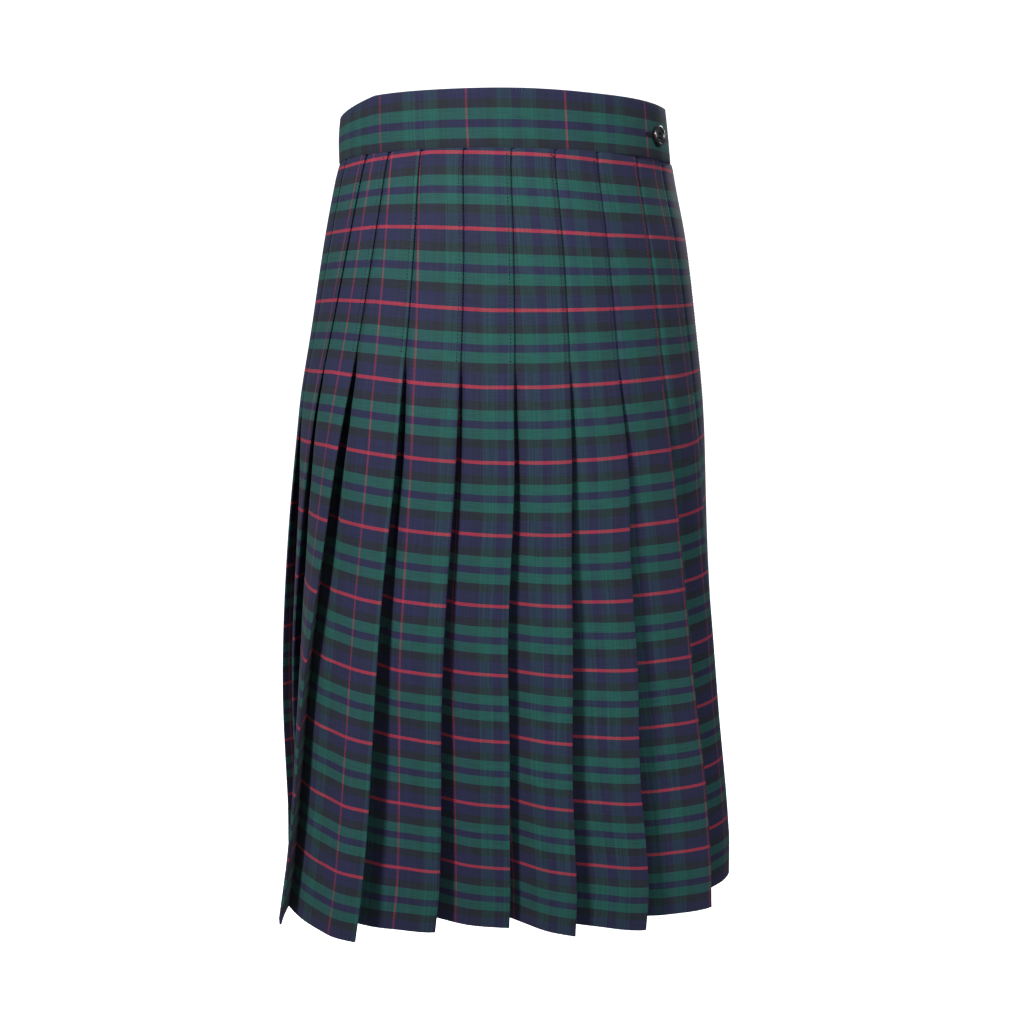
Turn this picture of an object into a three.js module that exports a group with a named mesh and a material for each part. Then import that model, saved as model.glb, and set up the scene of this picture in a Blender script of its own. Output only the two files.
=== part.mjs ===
// A knee-length skirt of knife pleats hung from a waistband, filled out as it is when worn.
// Millimetres, +Z up. The origin is the middle of the waist, level with the waist seam.
// The front faces -Y, and +X is the wearer's left, where the band buttons.
import * as THREE from "three";

// ---------- driving dimensions ----------
const CLOTH = 1.2; // wall of the pleated cloth
const LAYER_GAP = 0.5; // air between two layers of a closed pleat
const PIECE_GAP = 0.3; // between two pieces where they are sewn together
const SKIRT_LENGTH = 549; // waist seam to hem
const PLEAT_CLOTH = 96; // cloth that one pleat takes, folds included
const HIDDEN_FOLDS = 10; // folds across the back, evenly spaced
const HIDDEN_OPEN = 21; // how deep those stand open at the hem
const HIDDEN_STITCHED = 165; // and how far down they are stitched shut
const OPENING_RUN = 75; // a pleat opens by 63% this far below its stitching
const BAND_HEIGHT = 38;
const BAND_WALL = 2.6;
const BAND_EDGE = 1.0; // rounding of the band's folded top edge
const BUTTON_DIAMETER = 14;
const BUTTON_THICKNESS = 3.6;
const BUTTON_ARC = 120; // button from the centre front, measured round the band
const BUTTON_HEIGHT = 15.5; // above the waist seam
const OVERLAP_PAST_BUTTON = 24; // the band's outer end beyond the button
const UNDERLAP_PAST_BUTTON = 20; // its inner end, the other way
const OVERLAP_EASE = 45; // length over which the ends part into two layers

// ---------- the body of the skirt, level by level below the waist seam ----------
// side: how far the middle sits towards the wearer's left; square: 2 is an ellipse, more is boxier.
const SKIRT_BODY = [
  { level: 0, halfWidth: 123.5, halfDepth: 100.5, side: 1, square: 2.0 },
  { level: 12, halfWidth: 126.5, halfDepth: 103, side: 0.5, square: 2.0 },
  { level: 54, halfWidth: 135.5, halfDepth: 115, side: 1, square: 2.05 },
  { level: 118, halfWidth: 146, halfDepth: 126.5, side: 0.5, square: 2.1 },
  { level: 181, halfWidth: 155.5, halfDepth: 136.5, side: -1, square: 2.2 },
  { level: 290, halfWidth: 166.5, halfDepth: 142.5, side: -3, square: 2.35 },
  { level: 399, halfWidth: 176.5, halfDepth: 145.5, side: -1.5, square: 2.45 },
  { level: 508, halfWidth: 184, halfDepth: 144.5, side: 3.5, square: 2.55 },
  { level: SKIRT_LENGTH, halfWidth: 186.5, halfDepth: 140, side: 3, square: 2.6 },
];
const BAND_BODY = [
  { level: -BAND_HEIGHT, halfWidth: 119, halfDepth: 99, side: -1.5, square: 2 },
  { level: -BAND_HEIGHT / 2, halfWidth: 121, halfDepth: 99, side: -0.7, square: 2 },
  { level: 0, halfWidth: 122.5, halfDepth: 99, side: 0.5, square: 2 },
];

// ---------- the folds that face the front and the sides ----------
// Each fold's edge, measured round the body from the centre front at six levels, + to the wearer's left.
const FOLD_LEVELS = { waist: 0, seat: 75, hip: 150, thigh: 225, knee: 400, hem: SKIRT_LENGTH };
const FRONT_EDGES = [
  { waist: -137, seat: -157.5, hip: -177.5, thigh: -196, knee: -227, hem: -252 },
  { waist: -107, seat: -126, hip: -145, thigh: -161, knee: -190, hem: -210 },
  { waist: -84.5, seat: -97, hip: -109.5, thigh: -120, knee: -138.5, hem: -151 },
  { waist: -58.5, seat: -62.5, hip: -67, thigh: -71, knee: -84, hem: -99 },
  { waist: -28, seat: -27, hip: -27.5, thigh: -29.5, knee: -38.5, hem: -48 },
  { waist: 3.5, seat: 6, hip: 8.5, thigh: 10.5, knee: 8.5, hem: 5.5 },
  { waist: 32.5, seat: 39.5, hip: 45.5, thigh: 50.5, knee: 53, hem: 53 },
  { waist: 62.5, seat: 72, hip: 81.5, thigh: 92, knee: 102, hem: 106 },
  { waist: 96, seat: 109, hip: 121, thigh: 135, knee: 158.5, hem: 167 },
  { waist: 126, seat: 145, hip: 162, thigh: 180, knee: 208, hem: 219 },
  { waist: 158, seat: 182, hip: 204, thigh: 225, knee: 253, hem: 270 },
];
// And how that fold hangs. open: how deep its pleat stands open at the hem; proud: how far its corner leans
// out there; stitched: the level down to which it is sewn shut.
const FRONT_PLEATS = [
  { open: 21, proud: -6, stitched: 163 },
  { open: 23, proud: -16, stitched: 150 },
  { open: 19, proud: 29, stitched: 132 },
  { open: 22, proud: 21, stitched: 136 },
  { open: 22, proud: -2, stitched: 139 },
  { open: 22, proud: -10, stitched: 141 },
  { open: 22, proud: 1.5, stitched: 139 },
  { open: 23, proud: 4, stitched: 141 },
  { open: 22, proud: 6, stitched: 153 },
  { open: 22, proud: 2, stitched: 167 },
  { open: 21, proud: 0, stitched: 176 },
];
const FRONT_FOLDS = FRONT_EDGES.map((edge, i) => ({ ...edge, ...FRONT_PLEATS[i] }));

// ---------- how finely the cloth is divided ----------
const LEVELS = [PIECE_GAP, 12, 40, 80, 118, 150, 172, 200, 240, 295, 360, 430, 500, SKIRT_LENGTH];
const FACE_BOW = 1.25; // 1 is a flat face; more is a face that bulges outward
const PANEL_STEPS = 5; // spans across one pleat's face
const RING_STEPS = 720; // straight steps that measure round the body
const BAND_STEPS = 96;
const BUTTON_SEGMENTS = 40;

// ---------- reading the tables ----------
function columnAt(rows, column, level) {
  const last = rows.length - 1;
  const x = THREE.MathUtils.clamp(level, rows[0].level, rows[last].level);
  let k = 0;
  while (k < last - 1 && x > rows[k + 1].level) k += 1;
  const slopeAt = (i) => {
    const before = rows[Math.max(i - 1, 0)];
    const after = rows[Math.min(i + 1, last)];
    return (after[column] - before[column]) / (after.level - before.level);
  };
  const run = rows[k + 1].level - rows[k].level;
  const t = (x - rows[k].level) / run;
  const rise = rows[k + 1][column] - rows[k][column];
  const bendIn = slopeAt(k) * run - rise;
  const bendOut = slopeAt(k + 1) * run - rise;
  return rows[k][column] + t * rise + t * (1 - t) * ((1 - t) * bendIn - t * bendOut);
}

function foldAt(fold, level) {
  const rows = Object.entries(FOLD_LEVELS).map(([name, where]) => ({ level: where, arc: fold[name] }));
  return columnAt(rows, "arc", level);
}

// ---------- one level of the body: a closed curve that can be measured round ----------
function ringAt(body, level) {
  const halfWidth = columnAt(body, "halfWidth", level);
  const halfDepth = columnAt(body, "halfDepth", level);
  const side = columnAt(body, "side", level);
  const power = 2 / columnAt(body, "square", level);
  const bulge = (x) => Math.sign(x) * Math.abs(x) ** power;
  const points = [];
  const arcs = [];
  for (let k = 0; k <= RING_STEPS; k += 1) {
    const turn = ((k - RING_STEPS / 2) / RING_STEPS) * 2 * Math.PI;
    points.push(new THREE.Vector2(side + halfWidth * bulge(Math.sin(turn)), -halfDepth * bulge(Math.cos(turn))));
    arcs.push(k ? arcs[k - 1] + points[k].distanceTo(points[k - 1]) : 0);
  }
  const round = arcs[RING_STEPS];
  const centreFront = arcs[RING_STEPS / 2];
  const normalAt = (k) => {
    const before = points[(k - 1 + RING_STEPS) % RING_STEPS];
    const after = points[(k + 1) % RING_STEPS];
    return new THREE.Vector2(after.y - before.y, before.x - after.x).normalize();
  };
  // The point `arc` millimetres round from the centre front and `depth` inside the curve.
  const place = (arc, depth) => {
    const s = (((arc + centreFront) % round) + round) % round;
    let low = 0;
    let high = RING_STEPS;
    while (high - low > 1) {
      const middle = (low + high) >> 1;
      if (arcs[middle] > s) high = middle;
      else low = middle;
    }
    const t = (s - arcs[low]) / (arcs[high] - arcs[low]);
    const normal = normalAt(low).lerp(normalAt(high), t).normalize();
    const on = points[low].clone().lerp(points[high], t);
    return new THREE.Vector3(on.x - normal.x * depth, on.y - normal.y * depth, -level);
  };
  return { round, place };
}

// ---------- a wall of cloth between two grids of points, rows from top to bottom ----------
function wallGeometry(outer, inner) {
  const rows = outer.length;
  const columns = outer[0].length;
  const positions = [...outer.flat(), ...inner.flat()].flatMap((p) => [p.x, p.y, p.z]);
  const out = (j, i) => j * columns + i;
  const inn = (j, i) => (rows + j) * columns + i;
  const faces = [];
  const quad = (a, b, c, d) => faces.push(a, b, c, a, c, d);
  for (let j = 0; j < rows - 1; j += 1) {
    for (let i = 0; i < columns - 1; i += 1) {
      quad(out(j, i), out(j + 1, i), out(j + 1, i + 1), out(j, i + 1));
      quad(inn(j, i), inn(j, i + 1), inn(j + 1, i + 1), inn(j + 1, i));
    }
    quad(out(j, 0), inn(j, 0), inn(j + 1, 0), out(j + 1, 0));
    const end = columns - 1;
    quad(out(j, end), out(j + 1, end), inn(j + 1, end), inn(j, end));
  }
  for (let i = 0; i < columns - 1; i += 1) {
    quad(out(0, i), out(0, i + 1), inn(0, i + 1), inn(0, i));
    const foot = rows - 1;
    quad(out(foot, i), inn(foot, i), inn(foot, i + 1), out(foot, i + 1));
  }
  const geometry = new THREE.BufferGeometry();
  geometry.setAttribute("position", new THREE.Float32BufferAttribute(positions, 3));
  geometry.setIndex(faces);
  geometry.computeVertexNormals();
  return geometry;
}

// ---------- the pleats ----------
const FOLD_RADIUS = (CLOTH + LAYER_GAP) / 2;
const CLOSED_DEPTH = 4 * FOLD_RADIUS; // from the face of a closed pleat to its innermost layer
const LEAST_FACE = 6; // the face of a closed pleat is at least this much wider than its underlay

// Every fold once round the skirt at one level, the front ones first.
function foldsAt(level, round) {
  const front = FRONT_FOLDS.map((fold) => ({ ...fold, arc: foldAt(fold, level) }));
  const from = front[front.length - 1].arc;
  const gap = (front[0].arc + round - from) / (HIDDEN_FOLDS + 1);
  const hidden = [];
  for (let k = 1; k <= HIDDEN_FOLDS; k += 1) {
    hidden.push({ arc: from + k * gap, open: HIDDEN_OPEN, proud: 0, stitched: HIDDEN_STITCHED });
  }
  const folds = [...front, ...hidden];
  folds.forEach((fold, i) => {
    const before = folds[(i - 1 + folds.length) % folds.length].arc - (i ? 0 : round);
    fold.width = fold.arc - before;
  });
  folds.forEach((fold, i) => {
    // The pleat's cloth is shared by this face and the return behind its edge.
    const face = Math.max(fold.width, folds[(i + 1) % folds.length].width);
    const spare = PLEAT_CLOTH ** 2 - face ** 2;
    const deepest = spare / (2 * PLEAT_CLOTH);
    fold.opened = 1 - Math.exp(-Math.max(level - fold.stitched, 0) / OPENING_RUN);
    const wanted = THREE.MathUtils.lerp(CLOSED_DEPTH, Math.min(fold.open, deepest), fold.opened);
    fold.depth = Math.max(wanted, CLOSED_DEPTH);
    const under = (PLEAT_CLOTH * Math.sqrt(1 - (4 * fold.depth ** 2) / spare) - face) / 2;
    fold.underlay = Math.min(under, fold.width - LEAST_FACE);
    fold.lean = fold.proud * (Math.max(level - fold.stitched, 0) / (SKIRT_LENGTH - fold.stitched)) ** 1.5;
    // The return's heading: it touches the outer and the inner fold, two equal circles.
    const across = FOLD_RADIUS - fold.underlay;
    const inward = fold.depth - 2 * FOLD_RADIUS;
    fold.heading = Math.atan2(inward, across) + Math.asin((2 * FOLD_RADIUS) / Math.hypot(across, inward));
  });
  return folds;
}

// Points of the cloth's middle line are { arc, depth, heading }: heading 0 runs round the body, +90 degrees inward.
function outerFold(fold) {
  const centreArc = fold.arc - FOLD_RADIUS;
  const centreDepth = FOLD_RADIUS - fold.lean;
  return [0, 0.5, 1].map((share) => {
    const heading = share * fold.heading;
    const arc = centreArc + FOLD_RADIUS * Math.sin(heading);
    return { arc, depth: centreDepth - FOLD_RADIUS * Math.cos(heading), heading };
  });
}

function innerFold(fold, leaving) {
  const centreArc = fold.arc - fold.underlay;
  const centreDepth = fold.depth - FOLD_RADIUS - fold.lean;
  return [0, 0.5, 1].map((share) => {
    const heading = THREE.MathUtils.lerp(fold.heading, leaving, share);
    const arc = centreArc - FOLD_RADIUS * Math.sin(heading);
    return { arc, depth: centreDepth + FOLD_RADIUS * Math.cos(heading), heading };
  });
}

// The face of a pleat: closed, it lies under the fold before it and then steps out to the front;
// open, it swings out in a shallow bow.
function faceProfile(before, fold) {
  const from = before.arc - before.underlay;
  const length = fold.arc - FOLD_RADIUS - from;
  const hiddenShare = (before.underlay + 0.5) / length;
  const stepEnds = Math.min(hiddenShare + 8 / length, 1 - (fold.underlay + 1) / length);
  const opened = before.opened;
  const depthAt = (t) => {
    const closed = 1 - THREE.MathUtils.smoothstep(t, hiddenShare, stepEnds);
    const bowed = (1 - t) ** FACE_BOW;
    const drop = before.depth * THREE.MathUtils.lerp(closed, bowed, opened);
    return drop - THREE.MathUtils.lerp(before.lean, fold.lean, t);
  };
  const spread = THREE.MathUtils.lerp(hiddenShare, 1 / PANEL_STEPS, opened);
  const stops = [spread, THREE.MathUtils.lerp(stepEnds, 2.2 / PANEL_STEPS, opened)];
  const shares = [stops[0], stops[1], (2 * stops[1] + 1) / 3, (stops[1] + 2) / 3];
  const small = 1e-3;
  const pointAt = (t) => {
    const slope = (depthAt(t + small) - depthAt(t - small)) / (2 * small * length);
    return { arc: from + t * length, depth: depthAt(t), heading: Math.atan(slope) };
  };
  const leaving = Math.atan((depthAt(stops[0]) - depthAt(0)) / (stops[0] * length));
  return { leaving, points: shares.map(pointAt) };
}

// The cloth's middle line from the middle of one return, over the given folds, to the middle of another.
function pleatLine(folds, first, count) {
  const at = (k) => folds[(k + folds.length) % folds.length];
  const round = folds.reduce((sum, fold) => sum + fold.width, 0);
  const turned = (k) => ({ ...at(k), arc: at(k).arc + round * Math.floor(k / folds.length) });
  const middle = (fold, side) => {
    const a = outerFold(fold)[2];
    const b = innerFold(fold, 0)[0];
    const back = (side * PIECE_GAP) / 2;
    return {
      arc: (a.arc + b.arc) / 2 + back * Math.cos(fold.heading),
      depth: (a.depth + b.depth) / 2 + back * Math.sin(fold.heading),
      heading: fold.heading,
    };
  };
  const line = [middle(turned(first - 1), 1)];
  for (let k = first; k < first + count; k += 1) {
    const face = faceProfile(turned(k - 1), turned(k));
    line.push(...innerFold(turned(k - 1), face.leaving), ...face.points, ...outerFold(turned(k)));
  }
  line.push(middle(turned(first + count - 1), -1));
  return line;
}

function pleatedPanel(first, count) {
  const outer = [];
  const inner = [];
  LEVELS.forEach((level) => {
    const ring = ringAt(SKIRT_BODY, level);
    const line = pleatLine(foldsAt(level, ring.round), first, count);
    const shifted = (way) =>
      line.map(({ arc, depth, heading }) =>
        ring.place(arc + (way * CLOTH * Math.sin(heading)) / 2, depth - (way * CLOTH * Math.cos(heading)) / 2),
      );
    outer.push(shifted(1));
    inner.push(shifted(-1));
  });
  return wallGeometry(outer, inner);
}

// ---------- the waistband: a ring of doubled cloth whose ends overlap under the button ----------
function bandWall() {
  const rows = [
    { level: -BAND_HEIGHT, wall: BAND_WALL - 2 * BAND_EDGE },
    { level: -BAND_HEIGHT + BAND_EDGE, wall: BAND_WALL },
    { level: -BAND_HEIGHT / 2, wall: BAND_WALL },
    { level: 0, wall: BAND_WALL },
  ];
  const seam = ringAt(BAND_BODY, 0);
  const under = BUTTON_ARC - UNDERLAP_PAST_BUTTON; // the inner end starts here and runs round the back
  const length = seam.round + UNDERLAP_PAST_BUTTON + OVERLAP_PAST_BUTTON;
  const halfStep = (BAND_WALL + PIECE_GAP) / 2;
  const lap = UNDERLAP_PAST_BUTTON + OVERLAP_PAST_BUTTON;
  const depthAt = (run) => {
    const eased = (past) => 1 - THREE.MathUtils.smoothstep(past, lap, lap + OVERLAP_EASE);
    return halfStep * (eased(run) - eased(length - run));
  };
  const grid = (way) =>
    rows.map(({ level, wall }) => {
      const ring = ringAt(BAND_BODY, level);
      const points = [];
      for (let i = 0; i <= BAND_STEPS; i += 1) {
        const run = (i / BAND_STEPS) * length;
        const arc = ((under + run) * ring.round) / seam.round;
        points.push(ring.place(arc, depthAt(run) - (way * wall) / 2));
      }
      return points;
    });
  return wallGeometry(grid(1), grid(-1));
}

// ---------- the button: a rimmed disc that lies on the band's outer end ----------
function buttonDisc() {
  const radius = BUTTON_DIAMETER / 2;
  const profile = [
    [0, 0],
    [radius - 1.6, 0],
    [radius - 0.4, 0.9],
    [radius, 1.9],
    [radius - 0.3, 2.9],
    [radius - 1.1, BUTTON_THICKNESS],
    [radius - 2.0, 3.1],
    [radius - 2.6, 2.5],
    [0, 2.3],
  ].map(([r, h]) => new THREE.Vector2(r, h));
  return new THREE.LatheGeometry(profile, BUTTON_SEGMENTS);
}

function placeButton(mesh) {
  const seam = ringAt(BAND_BODY, 0);
  const standOff = -((BAND_WALL + PIECE_GAP) / 2 + BAND_WALL / 2 + PIECE_GAP);
  // A point of the band's face, `along` it and `above` the button's middle.
  const onBand = (along, above) => {
    const ring = ringAt(BAND_BODY, -BUTTON_HEIGHT - above);
    return ring.place(((BUTTON_ARC + along) * ring.round) / seam.round, standOff);
  };
  const across = onBand(1, 0).sub(onBand(-1, 0));
  const upward = onBand(0, 1).sub(onBand(0, -1));
  mesh.position.copy(onBand(0, 0));
  mesh.quaternion.setFromUnitVectors(new THREE.Vector3(0, 1, 0), across.cross(upward).normalize());
}

// ---------- the parts, each with its own finish ----------
function piece(name, geometry, finish) {
  const mesh = new THREE.Mesh(geometry, new THREE.MeshStandardMaterial(finish));
  mesh.name = name;
  return mesh;
}

const TARTAN = { color: "#2c4347", roughness: 0.9, metalness: 0 };
const HORN_BLACK = { color: "#0d0d0f", roughness: 0.25, metalness: 0 };

const skirt = new THREE.Group();
skirt.name = "pleated_skirt";
skirt.add(piece("waistband", bandWall(), TARTAN));
skirt.add(piece("front_panel", pleatedPanel(0, FRONT_FOLDS.length), TARTAN));
skirt.add(piece("back_panel", pleatedPanel(FRONT_FOLDS.length, HIDDEN_FOLDS), TARTAN));
const button = piece("button", buttonDisc(), HORN_BLACK);
placeButton(button);
skirt.add(button);

export default skirt;
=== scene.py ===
# %% [markdown]
# # A pleated tartan skirt
# A knee-length skirt of 21 knife pleats that all fold one way. Each pleat is a run of cloth that shows a
# face, turns back under itself at a pressed edge, and turns again to start the next face. The pleats are
# stitched down from the waist to the hip and swing free below. A doubled band holds them at the waist and
# buttons at the wearer's left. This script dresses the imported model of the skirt: every piece follows the
# same curves as the solids, worked out here again at the fineness that cloth needs.

# %% The frame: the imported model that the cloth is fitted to
import math
import random

import bmesh
import bpy
import numpy as np
from mathutils import Matrix, Vector


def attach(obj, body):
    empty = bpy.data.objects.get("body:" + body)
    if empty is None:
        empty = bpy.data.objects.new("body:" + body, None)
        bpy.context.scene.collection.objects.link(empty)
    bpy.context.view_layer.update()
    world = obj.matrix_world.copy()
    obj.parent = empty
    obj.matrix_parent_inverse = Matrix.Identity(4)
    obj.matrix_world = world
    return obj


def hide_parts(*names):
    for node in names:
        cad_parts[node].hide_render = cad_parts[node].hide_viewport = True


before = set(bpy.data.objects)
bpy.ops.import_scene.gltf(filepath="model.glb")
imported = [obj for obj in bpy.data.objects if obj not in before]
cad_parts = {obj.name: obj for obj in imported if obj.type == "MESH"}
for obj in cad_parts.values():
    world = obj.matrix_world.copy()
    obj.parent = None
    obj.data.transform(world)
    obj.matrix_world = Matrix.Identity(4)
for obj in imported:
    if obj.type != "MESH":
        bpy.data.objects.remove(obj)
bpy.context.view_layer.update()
MM = 0.001

# %% [markdown]
# ## The cut
# The sizes are in millimetres. The origin is the middle of the waist at the seam under the band, +Z is
# up, the front faces -Y and the wearer's left is +X. A level is counted downwards from the waist seam.
# The body is a stack of rounded outlines: an ellipse where `square` is 2, boxier where it is more.

# %% Driving sizes
SKIRT_LENGTH = 549.0
PLEAT_CLOTH = 96.0  # cloth that one pleat takes, folds included
HIDDEN_FOLDS = 10
HIDDEN_OPEN = 21.0
HIDDEN_STITCHED = 165.0
OPENING_RUN = 75.0
FACE_BOW = 1.25
FOLD_RADIUS = 0.48  # of the cloth's middle line, in a pressed edge
CLOSED_DEPTH = 4 * FOLD_RADIUS
LEAST_FACE = 6.0
PIECE_GAP = 0.3
BAND_HEIGHT = 38.0
BAND_WALL = 2.6
BUTTON_ARC = 120.0
BUTTON_HEIGHT = 15.5
OVERLAP_PAST_BUTTON = 24.0
UNDERLAP_PAST_BUTTON = 20.0
OVERLAP_EASE = 45.0

SKIRT_BODY = dict(
    level=[0, 12, 54, 118, 181, 290, 399, 508, SKIRT_LENGTH],
    half_width=[123.5, 126.5, 135.5, 146, 155.5, 166.5, 176.5, 184, 186.5],
    half_depth=[100.5, 103, 115, 126.5, 136.5, 142.5, 145.5, 144.5, 140],
    side=[1, 0.5, 1, 0.5, -1, -3, -1.5, 3.5, 3],
    square=[2.0, 2.0, 2.05, 2.1, 2.2, 2.35, 2.45, 2.55, 2.6],
)
BAND_BODY = dict(
    level=[-BAND_HEIGHT, -BAND_HEIGHT / 2, 0],
    half_width=[119, 121, 122.5],
    half_depth=[99, 99, 99],
    side=[-1.5, -0.7, 0.5],
    square=[2, 2, 2],
)
# Where each pressed edge lies, round the body from the centre front, at the waist, seat, hip, thigh, knee and
# hem; how deep its pleat stands open and how far its corner leans out at the hem; where its stitching ends.
FOLD_LEVELS = [0, 75, 150, 225, 400, SKIRT_LENGTH]
FRONT_FOLDS = [
    dict(arcs=[-137, -157.5, -177.5, -196, -227, -252], open=21, proud=-6, stitched=163),
    dict(arcs=[-107, -126, -145, -161, -190, -210], open=23, proud=-16, stitched=150),
    dict(arcs=[-84.5, -97, -109.5, -120, -138.5, -151], open=19, proud=29, stitched=132),
    dict(arcs=[-58.5, -62.5, -67, -71, -84, -99], open=22, proud=21, stitched=136),
    dict(arcs=[-28, -27, -27.5, -29.5, -38.5, -48], open=22, proud=-2, stitched=139),
    dict(arcs=[3.5, 6, 8.5, 10.5, 8.5, 5.5], open=22, proud=-10, stitched=141),
    dict(arcs=[32.5, 39.5, 45.5, 50.5, 53, 53], open=22, proud=1.5, stitched=139),
    dict(arcs=[62.5, 72, 81.5, 92, 102, 106], open=23, proud=4, stitched=141),
    dict(arcs=[96, 109, 121, 135, 158.5, 167], open=22, proud=6, stitched=153),
    dict(arcs=[126, 145, 162, 180, 208, 219], open=22, proud=2, stitched=167),
    dict(arcs=[158, 182, 204, 225, 253, 270], open=21, proud=0, stitched=176),
]
FOLDS = len(FRONT_FOLDS) + HIDDEN_FOLDS
print(FOLDS, "pleats take", FOLDS * PLEAT_CLOTH, "mm of cloth")

# %% [markdown]
# ## Curves that the tables give
# A few rows describe the body; a smooth curve through them gives every level between. It is a cubic
# through each pair of rows whose slope at a row is the slope between that row's neighbours. A spline
# object would do it too, but a plain function can be read at any level without making anything.

# %% Reading a smooth curve from a short table
def curve_at(levels, values, level):
    last = len(levels) - 1
    x = min(max(level, levels[0]), levels[last])
    k = 0
    while k < last - 1 and x > levels[k + 1]:
        k += 1

    def slope(i):
        before, after = max(i - 1, 0), min(i + 1, last)
        return (values[after] - values[before]) / (levels[after] - levels[before])

    run = levels[k + 1] - levels[k]
    rise = values[k + 1] - values[k]
    t = (x - levels[k]) / run
    bend_in = slope(k) * run - rise
    bend_out = slope(k + 1) * run - rise
    return values[k] + t * rise + t * (1 - t) * ((1 - t) * bend_in - t * bend_out)


def smooth(x, low=0.0, high=1.0):
    t = np.clip((x - low) / (high - low), 0.0, 1.0)
    return t * t * (3 - 2 * t)


def mix(a, b, t):
    return a + (b - a) * t


# %% [markdown]
# ## Measuring round the body
# A dressmaker measures along the cloth, so every place on the skirt is given as an arc round the body
# from the centre front and a depth inside it. Each level is cut into short straight steps whose lengths
# are summed, and an arc is then looked up in that sum.

# %% One level of the body: a closed curve that can be measured round
RING_STEPS = 720


class Ring:
    def __init__(self, body, level):
        names = ("half_width", "half_depth", "side", "square")
        half_width, half_depth, side, square = (curve_at(body["level"], body[name], level) for name in names)
        turn = np.linspace(-math.pi, math.pi, RING_STEPS + 1)
        power = 2 / square
        x = side + half_width * np.sign(np.sin(turn)) * np.abs(np.sin(turn)) ** power
        y = -half_depth * np.sign(np.cos(turn)) * np.abs(np.cos(turn)) ** power
        self.points = np.stack([x, y], axis=1)
        self.points[-1] = self.points[0]
        steps = np.linalg.norm(np.diff(self.points, axis=0), axis=1)
        self.arcs = np.concatenate([[0.0], np.cumsum(steps)])
        self.round = self.arcs[-1]
        self.front = self.arcs[RING_STEPS // 2]
        before = np.roll(self.points[:-1], 1, axis=0)
        after = np.roll(self.points[:-1], -1, axis=0)
        way = after - before
        normal = np.stack([way[:, 1], -way[:, 0]], axis=1)
        normal /= np.linalg.norm(normal, axis=1)[:, None]
        self.normals = np.vstack([normal, normal[:1]])
        self.level = level

    def place(self, arc, depth):
        """Points that lie `arc` round from the centre front and `depth` inside the curve."""
        s = (np.asarray(arc) + self.front) % self.round
        low = np.clip(np.searchsorted(self.arcs, s, side="right") - 1, 0, RING_STEPS - 1)
        t = ((s - self.arcs[low]) / (self.arcs[low + 1] - self.arcs[low]))[:, None]
        normal = mix(self.normals[low], self.normals[low + 1], t)
        normal /= np.linalg.norm(normal, axis=1)[:, None]
        on = mix(self.points[low], self.points[low + 1], t)
        flat = on - normal * np.asarray(depth)[:, None]
        return np.column_stack([flat, np.full(len(flat), -self.level)])


waist_round = Ring(BAND_BODY, 0).round
print("the waist is", round(waist_round), "mm round and the hem", round(Ring(SKIRT_BODY, SKIRT_LENGTH).round))

# %% [markdown]
# ## The pleats
# The cloth's middle line at one level is a string of points { arc, depth, heading }, where heading 0 runs
# round the body and +90 degrees goes inward. A pleat is an inner turn, a face, an outer turn and a
# straight return. Below its stitching it opens like a hinge that relaxes: quickly at first, then less and
# less. Cloth simulation would lose these crisp edges, so the pleats are placed by rule and then only
# softened a little.

# %% Every fold round the skirt at one level
def folds_at(level, girth):
    folds = [dict(fold, arc=curve_at(FOLD_LEVELS, fold["arcs"], level)) for fold in FRONT_FOLDS]
    last_arc = folds[-1]["arc"]
    gap = (folds[0]["arc"] + girth - last_arc) / (HIDDEN_FOLDS + 1)
    for k in range(1, HIDDEN_FOLDS + 1):
        folds.append(dict(arc=last_arc + k * gap, open=HIDDEN_OPEN, proud=0, stitched=HIDDEN_STITCHED))
    for k, fold in enumerate(folds):
        fold["width"] = fold["arc"] - folds[k - 1]["arc"] + (0 if k else girth)
    for k, fold in enumerate(folds):
        face = max(fold["width"], folds[(k + 1) % FOLDS]["width"])
        spare = PLEAT_CLOTH**2 - face**2
        below = max(level - fold["stitched"], 0)
        fold["opened"] = 1 - math.exp(-below / OPENING_RUN)
        wanted = mix(CLOSED_DEPTH, min(fold["open"], spare / (2 * PLEAT_CLOTH)), fold["opened"])
        fold["depth"] = max(wanted, CLOSED_DEPTH)
        under = (PLEAT_CLOTH * math.sqrt(1 - 4 * fold["depth"] ** 2 / spare) - face) / 2
        fold["underlay"] = min(under, fold["width"] - LEAST_FACE)
        fold["lean"] = fold["proud"] * (below / (SKIRT_LENGTH - fold["stitched"])) ** 1.5
        across = FOLD_RADIUS - fold["underlay"]
        inward = fold["depth"] - 2 * FOLD_RADIUS
        fold["heading"] = math.atan2(inward, across) + math.asin(2 * FOLD_RADIUS / math.hypot(across, inward))
    return folds
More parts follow.
